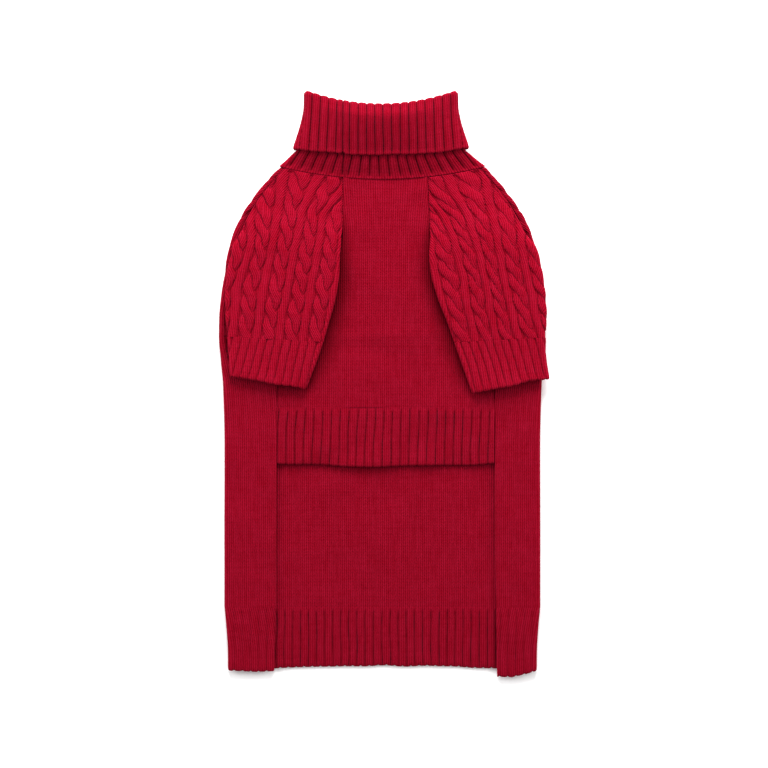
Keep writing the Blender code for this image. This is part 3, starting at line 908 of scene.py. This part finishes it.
def back_panel(settings):
    """Back panel: the wrapped section carried along Y. Its yoke is cabled and the rest plain.

    The cables are carved up into the cloth, so that the underside rests flat, and run out towards
    the folds.
    """
    top, bottom = BACK_ROWS[0].y, BACK_ROWS[-1].y
    yoke = courses(top - YOKE_BOTTOM, YOKE_STEP, BACK_INNER)[: -len(EDGE_ROWS)]
    plain = np.linspace(yoke[-1], top - bottom - EDGE_ROWS[-1], PLAIN_ROWS + 1)[1:]
    down = np.concatenate([yoke, plain, top - bottom - np.array(EDGE_ROWS[-2::-1])])
    down = down[(len(down) - 1) % BACK_INNER:]
    down[0] = 0.0
    row = rows_at(BACK_ROWS, top - down)
    across, x, z = wrapped(row, BACK_Z, STRIP_Z, BACK_WALL, *BACK_COLUMNS)
    facing_up = upper_layer(z, BACK_Z, STRIP_Z)
    sag = row.sag * (1 - (x / row.half) ** 2) * (1 - (1 - FRONT_SAG_SHARE) * facing_up)
    y = row.y - sag
    lift = waves(x, y, 11) * facing_up * settings.waviness / MM + creased(x, y, BACK_CREASES)
    middle = np.stack([x, y, z + lift], -1)

    along = np.broadcast_to(down[:, None], x.shape)
    column = (YOKE_RIB_X - across) / CABLE_PERIOD
    height, hollow, shift = cables(column, along / BACK_CABLE_REPEAT)
    from_fold = ramp(row.half - np.abs(x), *YOKE_FOLD_FADE)
    knitted = ramp(y, *YOKE_END) * (YOKE_AT_FOLD + (1 - YOKE_AT_FOLD) * from_fold)
    out = BACK_WALL / 2 + (height - 1) * knitted * settings.cable_depth / MM * BACK_CABLE_SHARE
    swell = waves(x, y, 13, 70.0, 24.0) * settings.waviness / MM * (1 - facing_up)
    under = BACK_WALL / 2 + 0.3 * knitted + swell * ramp(y, -168.0, -150.0) * (1 - knitted)
    side = edge_distance(across, 1)
    sewn = ramp(y, *STRIPS_SEWN_TO)
    ends = ((along, SEWN_EDGE), (along[-1] - along, KNITTED_ON))
    share = rolled(*ends, (side, SEWN_EDGE)) * sewn + rolled(*ends, (side, FREE_EDGE)) * (1 - sewn)
    stitches = ((across + shift * CABLE_PERIOD * knitted) / WALE, along / COURSE)
    piece = knit(
        "back_panel_knit", middle, out, under, share, stitches, (hollow * knitted, 0.0),
        every=BACK_INNER,
    )
    clothe(
        piece, "back_panel", wool("plain knit"),
    )
    return piece


def back_hem(settings):
    """Back hem: the wrapped section carried along Y, ribbed on both faces.

    A groove of one face is a rib of the other.
    """
    top, bottom = HEM_ROWS[0].y, HEM_ROWS[-1].y
    down = courses(top - bottom, HEM_STEP, 1)
    row = rows_at(HEM_ROWS, top - down)
    across, x, z = wrapped(row, HEM_Z, HEM_STRIP_Z, RIB_WALL, *HEM_COLUMNS)
    strip = np.where(x < 0, row.strip_left, row.strip_right)
    end = np.where(x < 0, row.y_left, row.y_right)
    folded = row.y_fold + (row.y - row.y_fold) * (1 - (x / row.half) ** 2)
    run_out = np.minimum(1, (row.half - np.abs(x)) / strip * STRIP_RUN_OUT)
    facing_up = upper_layer(z, HEM_Z, HEM_STRIP_Z)
    y = folded * (1 - facing_up) + (row.y_fold + (end - row.y_fold) * run_out) * facing_up
    lift = waves(x, y, 12) * facing_up * settings.waviness / MM

    along = np.broadcast_to(down[:, None], x.shape)
    depth = settings.rib_depth / MM
    started = ramp(along + 0.7 * waves(across, along * 0, 9, 40.0, 12.0), *RIBS_START)
    softness = 1 - STRIP_PRESSED * facing_up
    straight = across - 2 * np.sign(across) * (row.half - row.half[-1]) * facing_up
    phase = (straight + 0.5 + wander(straight, along, 5)) / HEM_RIB_WIDTH
    upper, lower = wide_ribs(phase, SQUARE_RIBS), wide_ribs(phase + 0.5, ROUND_RIBS)
    uneven = 0.5 * waves(across, along * 0, 8, 60.0, 20.0) * along / (top - bottom)
    y = y + scalloped(lower, along[-1] - along) + uneven
    middle = np.stack([x, y, z + lift], -1)
    start = (RIB_WALL - BACK_WALL) / 2 * (1 - ramp(along, 0.0, STEP_RUN_OUT))
    out = ribbed(lower, depth * started * softness) - start * facing_up
    under = ribbed(upper, depth * started * 0.8) - 2 * start * (1 - facing_up)
    painted_shades = ((1 - lower) * started * softness * HEM_SHADE, (1 - upper) * started * HEM_SHADE)
    share = rolled(
        (along, KNITTED_ON), (along[-1] - along, FREE_EDGE), (edge_distance(across, 1), FREE_EDGE),
    )
    piece = knit("back_hem_knit", middle, out, under, share, (across / WALE, along / COURSE), painted_shades)
    clothe(piece, "back_hem", wool("rib knit"))
    return piece


# The chest panel and the belly hem


def flat_front(table, step, column_steps, every):
    """A front piece between its left and right edges, each row sagging in the middle."""
    top, bottom = table[0].y, table[-1].y
    down = courses(top - bottom, step, every)
    row = rows_at(table, top - down)
    even = np.linspace(0, 1, column_steps + 1)
    share = EDGE_CROWDING * (1 - np.cos(pi * even)) / 2 + (1 - EDGE_CROWDING) * even
    x = row.left + (row.right - row.left) * share
    y = row.y - row.sag * (1 - (2 * share - 1) ** 2)
    return x, y, np.broadcast_to(down[:, None], x.shape)


def chest_panel(settings):
    """Chest panel: a nearly flat plain-knit sheet with soft swells and a dip at each raglan seam, and a
    shadow painted on its wool beside the sleeves and cuffs.
    """
    x, y, along = flat_front(CHEST_ROWS, CHEST_STEP, CHEST_COLUMNS, CHEST_INNER)
    edge = edge_distance(x, 1)
    z = CHEST_Z + waves(x, y, 21) * settings.waviness / MM + creased(x, y, CHEST_CREASES)
    raglan = ramp(y, 96.0, 112.0)
    z += raglan * 0.7 * (1 - ramp(edge, 0.0, 6.0)) - 0.2 * raglan
    middle = np.stack([x, y, z], -1)
    # A shadow painted on the wool beside the sleeves' and cuffs' inner edges, darkest under them and
    # fading out across its reach.
    shadow_band = rows_at(SLEEVE_SHADOWS, y[:, 0])
    beside = np.minimum(x - shadow_band.left, shadow_band.right - x)
    sleeve_shadow = shadow_band.depth * (1 - ramp(beside, -0.12 * shadow_band.reach, shadow_band.reach))
    wall = np.full(x.shape, PLAIN_WALL / 2)
    share = rolled((along, SEWN_EDGE), (along[-1] - along, KNITTED_ON), (edge, SEWN_EDGE))
    fanned = x * (1 - 0.1 * ramp(y, 110.0, 160.0))
    piece = knit(
        "chest_panel_knit", middle, wall, wall, share, (fanned / WALE, along / COURSE),
        (sleeve_shadow, 0.0), every=CHEST_INNER, flip=True,
    )
    clothe(
        piece, "chest_panel", wool("plain knit"),
    )
    return piece


def belly_hem(settings):
    """Belly hem: a short wide-ribbed band whose free edge lifts and dips a little."""
    x, y, along = flat_front(BELLY_HEM_ROWS, BELLY_STEP, BELLY_COLUMNS, 1)
    free = ramp(along, 18.0, 44.0)
    z = BELLY_HEM_Z + (waves(x, y, 22) + 0.6) * settings.waviness / MM * (1 + 1.5 * free)
    started = ramp(along + 0.8 * waves(x, x * 0, 7, 40.0, 12.0), *RIBS_START)
    lean = 1.6 * (1 - along / 44.0)
    phase = (x + 81.2 - lean + wander(x, along, 6)) / BELLY_RIB_WIDTH
    ribs = wide_ribs(phase, SQUARE_RIBS)
    y = y + waves(x, y * 0, 23, 70.0, 25.0) * 0.7 * free + scalloped(ribs, along[-1] - along)
    middle = np.stack([x, y, z], -1)
    out = ribbed(ribs, settings.rib_depth / MM * started * 0.85)
    out = out - (RIB_WALL - PLAIN_WALL) * (1 - ramp(along, 0.0, STEP_RUN_OUT))
    share = rolled(
        (along, KNITTED_ON), (along[-1] - along, FREE_EDGE), (edge_distance(x, 1), SEWN_EDGE),
    )
    piece = knit(
        "belly_hem_knit", middle, out, RIB_WALL / 2 + 0 * x, share, (x / WALE, along / COURSE),
        ((1 - ribs) * started * HEM_SHADE, 0.0), flip=True,
    )
    clothe(
        piece, "belly_hem", wool("rib knit"),
    )
    return piece


# Sleeves and cuffs


def tube_columns(tail, fold, top):
    """Positions across a flattened tube's stretches: tail, fold, upper layer, fold and tail."""
    return join_stretches(evenly(tail), evenly(fold), evenly(top), evenly(fold), evenly(tail))


def tube_section(breaks, headings, columns):
    """A section of a flattened tube: tail, fold, upper layer, fold, tail. It starts at its upper layer."""
    along, x, z = lay(breaks, headings, columns)
    corner = int(np.searchsorted(columns, 2.0))
    return along - breaks[:, [2]], pin(x, corner, 0.0), pin(z, corner, 0.0)


def sleeve_grid(table, step, columns, every):
    """The middle of a sleeve or cuff, and where its points lie on the cloth.

    Each row's section lies along the line between its outer and inner edge. The upper layer is
    crowned by a sine of its width, and the edges turn under to the lower layer. Returns the points,
    the distance across from the upper layer's start, the X that each would have with the cloth
    unrolled, the distance down, and 1 on the upper layer fading to 0 underneath.
    """
    top, bottom = table[0].outer_y, table[-1].outer_y
    down = courses(top - bottom, step, every)
    row = rows_at(table, top - down)
    width = np.hypot(row.inner_x - row.outer_x, row.inner_y - row.outer_y)
    inset = RIB_WALL / 2 + SLEEVE_FOLD
    flat = width - 2 * inset
    turns = np.hstack([row.turn_outer, row.turn_inner])
    folds = np.radians(turns) * SLEEVE_FOLD
    to_the_seam = inset - SLEEVE_FOLD * np.sin(np.radians(turns)) - LEAST_MARGIN
    tail = np.maximum(LEAST_MARGIN, (flat / 2 - SEAM_GAP / 2) * row.share)
    tail = tail + to_the_seam * (1 - ramp(turns, *LEFT_THE_SEAM))
    stretches = np.hstack([tail[:, :1], folds[:, :1], flat, folds[:, 1:], tail[:, 1:]])
    breaks = np.hstack([flat * 0, np.cumsum(stretches, axis=1)])
    level = row.turn_outer * 0
    headings = np.hstack([row.turn_outer, row.turn_outer, level, level, -row.turn_inner, -row.turn_inner])
    run, x, z = tube_section(breaks, headings, columns)
    over = np.clip(run / flat, 0, 1)
    z = z + row.edge_z + row.crown * np.sin(pi * over) ** CROWN_ROUNDNESS
    reach = x + inset
    share = np.clip(reach / width, 0, 1)
    bow = 4 * row.bow * share * (1 - share)
    along_x, along_y = (row.inner_x - row.outer_x) / width, (row.inner_y - row.outer_y) / width
    middle = np.stack([row.outer_x + reach * along_x, row.outer_y + reach * along_y - bow, z], -1)
    unrolled_x = row.outer_x + (run + inset) * along_x
    seen = 1 - ramp(-run, *UNDER_FADE) - ramp(run - flat, *UNDER_FADE)
    return middle, run, unrolled_x, np.broadcast_to(down[:, None], run.shape), seen


def sleeve(side, table, lines, seed, settings, flip):
    """Sleeve: cables and narrow ribs that follow the rib lines, plain on the layer underneath.

    Swells make the ribs stray and the ropes turn unevenly, and each rope starts at its own turn.
    """
    columns = tube_columns(*SLEEVE_COLUMNS)
    middle, run, unrolled_x, along, seen = sleeve_grid(table, SLEEVE_STEP, columns, SLEEVE_INNER)
    column = rib_column(rows_at(lines, middle[:, SLEEVE_SPINE, 1]), unrolled_x)
    column = column + 0.03 * waves(unrolled_x, along, seed + 60, 45.0, 18.0)
    turn = along / SLEEVE_CABLE_REPEAT + 0.13 * np.sin(2.4 * np.floor(column))
    turn = turn + 0.09 * waves(unrolled_x, along, seed + 80, 60.0, 24.0)
    height, hollow, shift = cables(column, turn)
    middle[..., 2] += waves(middle[..., 0], middle[..., 1], seed) * settings.waviness / MM
    depth = settings.cable_depth / MM
    joined = seen * ramp(np.minimum(along, edge_distance(run, 1)), 0.1, 1.8)
    out = (CABLE_TOP - (1 - height) * depth) * joined + JOIN_TOP * (1 - joined)
    share = rolled(
        (along, SEWN_EDGE), (along[-1] - along, KNITTED_ON), (edge_distance(run, 1), SEWN_EDGE),
    )
    stitches = ((run - shift * CABLE_PERIOD) / WALE, along / COURSE)
    piece = knit(
        f"sleeve_{side}_knit", middle, out, TUBE_UNDER + 0 * run, share, stitches,
        (hollow * joined * SLEEVE_SHADE, 0.0), every=SLEEVE_INNER, flip=flip,
    )
    clothe(
        piece, f"sleeve_{side}", wool("cable knit"),
    )
    return piece


def cuff(side, table, lines, seed, settings, flip):
    """Cuff: a wide-ribbed tube whose ribs lean with the sleeve.

    The grooves are shallower where the cuff starts and at its free edge, which runs unevenly.
    """
    middle, run, unrolled_x, along, seen = sleeve_grid(table, CUFF_STEP, tube_columns(*CUFF_COLUMNS), 1)
    column = rib_column(rows_at(lines, middle[:, CUFF_SPINE, 1]), unrolled_x)
    column = column + wander(run, along, seed) / CABLE_PERIOD
    ribs = wide_ribs(column * CUFF_RIBS_PER_CABLE, ROUND_RIBS)
    middle[..., 2] += waves(middle[..., 0], middle[..., 1], seed) * settings.waviness / MM
    at_edge = ramp(along, along[-1] - 2.5, along[-1] - 0.5)
    started = seen * (0.7 + 0.3 * ramp(along, 0.0, 3.0)) * (1 - 0.4 * at_edge)
    uneven = 0.7 * waves(run, along * 0, seed + 3, 50.0, 16.0) * ramp(along, 12.0, along[-1])
    middle[..., 1] += scalloped(ribs, along[-1] - along) + uneven
    out = ribbed(ribs, settings.rib_depth / MM * 0.75 * started)
    share = rolled(
        (along, KNITTED_ON), (along[-1] - along, FREE_EDGE), (edge_distance(run, 1), SEWN_EDGE),
    )
    piece = knit(
        f"cuff_{side}_knit", middle, out, TUBE_UNDER + 0 * run, share, (run / WALE, along / COURSE),
        ((1 - ribs) * started * CUFF_SHADE, 0.0), flip=flip,
    )
    clothe(
        piece, f"cuff_{side}", wool("cuff rib knit"),
    )
    return piece


# The collar


def turn_over_rows():
    """The rows round the collar's top edge, where the neck tube turns outwards."""
    top = NECK_ROWS[-1]
    rows = []
    for angle in np.radians([30.0, 60.0, 90.0, 120.0, 150.0, 180.0]):
        out = COLLAR_FOLD * (1 - np.cos(angle))
        rows.append(CollarRow(
            top.y + COLLAR_FOLD * np.sin(angle), top.sag_front, top.sag_back, top.x_middle,
            top.half + out, top.low_z - out, top.high_z + out, top.crown,
        ))
    return rows


def collar(settings):
    """Collar: one ribbed tube that rises from the neck seam, turns outwards and comes down over itself.

    Its loops are flattened tubes. The ribs keep their width in front and share out the rest of the
    loop at the sides and behind; one narrow rib marks the seam. Both faces are ribbed, and a groove
    of one is a rib of the other. Below the fold the turned part bulges by a sine of the square root
    of the distance down it, so most just below the fold.
    """
    table = NECK_ROWS + turn_over_rows() + TURNED_ROWS
    values = np.array(table, float)
    steps = np.hypot(np.diff(values[:, 0]), np.diff(values[:, 6]))
    knots = np.concatenate([[0.0], np.cumsum(np.maximum(steps, 0.2))])
    down = courses(knots[-1], COLLAR_STEP, 1)
    row = CollarRow(*(c[:, None] for c in smooth(knots, values, down).T))
    radius = (row.high_z - row.low_z) / 2
    flat = row.half - radius
    stretches = np.hstack([flat, pi * radius, 2 * flat, pi * radius, flat])
    breaks = np.hstack([flat * 0, np.cumsum(stretches, axis=1)])
    headings = np.broadcast_to([180.0, 180.0, 0.0, 0.0, -180.0, -180.0], breaks.shape)
    run, x, z = tube_section(breaks, headings, tube_columns(*COLLAR_COLUMNS))
    x, z, run = x - flat, z + row.high_z, run - flat
    front = upper_layer(z, row.low_z, row.high_z)
    along = np.broadcast_to(down[:, None], x.shape)
    fold_start, fold_top, fold_end = (knots[len(NECK_ROWS) + k] for k in (0, 3, 6))
    turned = ramp(along, fold_start, fold_end)
    down_the_turn = np.clip((along - fold_top) / COLLAR_BULGE_LENGTH, 0, 1)
    bulge = COLLAR_BULGE * turned * np.sin(pi * down_the_turn**0.5)
    z = z + (row.crown + bulge) * front * (1 - np.clip(x / flat, -1, 1) ** 2)
    sag = row.sag_back + (row.sag_front - row.sag_back) * front
    y = row.y - sag * (1 - np.clip(x / row.half, -1, 1) ** 2)

    loop = breaks[:, [-1]]
    rib_width = np.interp(down, COLLAR_RIB_AT, COLLAR_RIB_WIDTH)[:, None]
    share = run / (loop / 2)
    evenness = loop / (rib_width * COLLAR_RIBS)
    phase = COLLAR_RIBS / 2 * (evenness * share + (1 - evenness) * share**3)
    past_seam = ramp(run, COLLAR_SEAM - 2.2, COLLAR_SEAM + 2.2)
    phase = phase + 0.5 * (past_seam - share / 2 - 0.5)
    phase = phase + wander(run, along, 33) / 9.0
    outside, inside = wide_ribs(phase + 0.5, COLLAR_SQUARENESS), wide_ribs(phase, COLLAR_SQUARENESS)
    depth = settings.rib_depth / MM
    to_edge = along[-1] - along
    ends = ramp(along, 0.5, 2.4) - 0.25 * (1 - ramp(to_edge, 0.5, 3.0))
    ends = ends - 0.45 * np.exp(-(((along - knots[len(NECK_ROWS) + 2]) / 4.0) ** 2))
    seam = np.exp(-(((run - COLLAR_SEAM) / 1.3) ** 2))
    y = y + scalloped(outside, to_edge) + 1.6 * seam * (1 - ramp(to_edge, 0.0, 5.0))
    y = y + 0.6 * waves(run, along * 0, 31, 60.0, 22.0) * (1 - ramp(to_edge, 0.0, 20.0))
    middle = np.stack([x + row.x_middle, y, z], -1)
    edge = rolled((along, SEWN_EDGE), (along[-1] - along, FREE_EDGE))
    piece = knit(
        "collar_knit", middle, ribbed(outside, depth * ends), ribbed(inside, depth * ends), edge,
        (phase * 2, along / COURSE),
        ((1 - outside) * ends * COLLAR_SHADE, (1 - inside) * ends * COLLAR_SHADE),
        closed=True, flip=True,
    )
    clothe(
        piece, "collar", wool("rib knit"),
    )
    return piece


# The stage


def floor(stage):
    """A level square far wider than the view, a hair below the frame's lowest point."""
    side, low = FLOOR_REACH, CAD_BOX[0].z - FLOOR_GAP
    corners = np.array([(-side, -side, low), (side, -side, low), (side, side, low), (-side, side, low)])
    mesh = bpy.data.meshes.new("floor")
    mesh.from_pydata(corners.tolist(), [], [(0, 1, 2, 3)])
    obj = bpy.data.objects.new("floor", mesh)
    bpy.context.scene.collection.objects.link(obj)
    material = bpy.data.materials.new("pale_floor")
    n = Nodes(material)
    n.shader.inputs["Base Color"].default_value = (*stage.floor, 1.0)
    n.shader.inputs["Roughness"].default_value = 0.9
    n.shader.inputs["Specular IOR Level"].default_value = 0.1
    mesh.materials.append(material)


def soft_light(light, stage):
    """A square area light at its place, turned to face its target."""
    lamp = bpy.data.lights.new(light.name, "AREA")
    lamp.shape = "SQUARE"
    lamp.size = light.size
    lamp.energy = getattr(stage, light.power)
    obj = bpy.data.objects.new(light.name, lamp)
    obj.location = light.place
    facing = Vector(light.target) - Vector(light.place)
    obj.rotation_euler = facing.to_track_quat("-Z", "Y").to_euler()
    bpy.context.scene.collection.objects.link(obj)


def even_light(stage):
    """The same white light from all round."""
    world = bpy.data.worlds.new("even_light")
    world.use_nodes = True
    background = world.node_tree.nodes["Background"]
    background.inputs["Color"].default_value = (1.0, 1.0, 1.0, 1.0)
    background.inputs["Strength"].default_value = stage.fill
    bpy.context.scene.world = world


def camera(stage):
    """A long lens straight over the middle of the garment, with the collar to the top."""
    middle = (CAD_BOX[0] + CAD_BOX[1]) / 2
    lens = bpy.data.cameras.new("camera")
    lens.lens = stage.lens
    lens.sensor_width = SENSOR_WIDTH
    obj = bpy.data.objects.new("camera", lens)
    height = stage.width_seen * stage.lens / SENSOR_WIDTH
    obj.location = (middle.x, middle.y, height)
    obj.rotation_euler = (0.0, 0.0, 0.0)
    bpy.context.scene.collection.objects.link(obj)
    bpy.context.scene.camera = obj


# Operators and the panel


class SWEATER_OT_back(bpy.types.Operator):
    """Knit the back panel and the back hem, which wrap round to the front"""

    bl_idname = "sweater.back"
    bl_label = "Back"

    def execute(self, context):
        back_panel(context.scene.dog_sweater)
        back_hem(context.scene.dog_sweater)
        return {"FINISHED"}


class SWEATER_OT_front(bpy.types.Operator):
    """Knit the chest panel and the belly hem"""

    bl_idname = "sweater.front"
    bl_label = "Front"

    def execute(self, context):
        chest_panel(context.scene.dog_sweater)
        belly_hem(context.scene.dog_sweater)
        return {"FINISHED"}


class SWEATER_OT_sleeves(bpy.types.Operator):
    """Knit the two cabled sleeves and their ribbed cuffs"""

    bl_idname = "sweater.sleeves"
    bl_label = "Sleeves"

    def execute(self, context):
        settings = context.scene.dog_sweater
        sleeve("left", LEFT_SLEEVE_ROWS, LEFT_RIB_LINES, 16, settings, flip=True)
        cuff("left", LEFT_CUFF_ROWS, LEFT_RIB_LINES, 14, settings, flip=True)
        sleeve("right", RIGHT_SLEEVE_ROWS, RIGHT_RIB_LINES, 17, settings, flip=False)
        cuff("right", RIGHT_CUFF_ROWS, RIGHT_RIB_LINES, 15, settings, flip=False)
        return {"FINISHED"}


class SWEATER_OT_collar(bpy.types.Operator):
    """Knit the ribbed collar and turn it down"""

    bl_idname = "sweater.collar"
    bl_label = "Collar"

    def execute(self, context):
        collar(context.scene.dog_sweater)
        return {"FINISHED"}


class SWEATER_OT_stage(bpy.types.Operator):
    """Lay the floor, set the lights and place the camera overhead"""

    bl_idname = "sweater.stage"
    bl_label = "Stage"

    def execute(self, context):
        scene, stage = context.scene, context.scene.dog_sweater_stage
        floor(stage)
        for light in SOFT_LIGHTS:
            soft_light(light, stage)
        even_light(stage)
        scene.view_settings.view_transform = "Standard"
        scene.view_settings.gamma = 1 / stage.contrast
        camera(stage)
        return {"FINISHED"}


class SWEATER_PT_panel(bpy.types.Panel):
    """Lists the sweater's settings and its steps in the order of making"""

    bl_idname = "SWEATER_PT_panel"
    bl_label = "Dog Sweater"
    bl_space_type = "VIEW_3D"
    bl_region_type = "UI"
    bl_category = "Dog Sweater"

    def draw(self, context):
        for group in (context.scene.dog_sweater, context.scene.dog_sweater_stage):
            for name in group.bl_rna.properties.keys():
                if name not in ("rna_type", "name"):
                    self.layout.prop(group, name)
        for step in STEPS:
            self.layout.operator(step.bl_idname)


STEPS = (
    SWEATER_OT_back,
    SWEATER_OT_front,
    SWEATER_OT_sleeves,
    SWEATER_OT_collar,
    SWEATER_OT_stage,
)
CLASSES = (SweaterSettings, StageSettings, *STEPS, SWEATER_PT_panel)


def register():
    for cls in CLASSES:
        bpy.utils.register_class(cls)
    bpy.types.Scene.dog_sweater = PointerProperty(type=SweaterSettings)
    bpy.types.Scene.dog_sweater_stage = PointerProperty(type=StageSettings)


def unregister():
    del bpy.types.Scene.dog_sweater_stage
    del bpy.types.Scene.dog_sweater
    for cls in reversed(CLASSES):
        bpy.utils.unregister_class(cls)


def main():
    """Makes everything in order."""
    register()
    for step in STEPS:
        group, name = step.bl_idname.split(".")
        getattr(getattr(bpy.ops, group), name)()


if __name__ == "__main__":
    main()
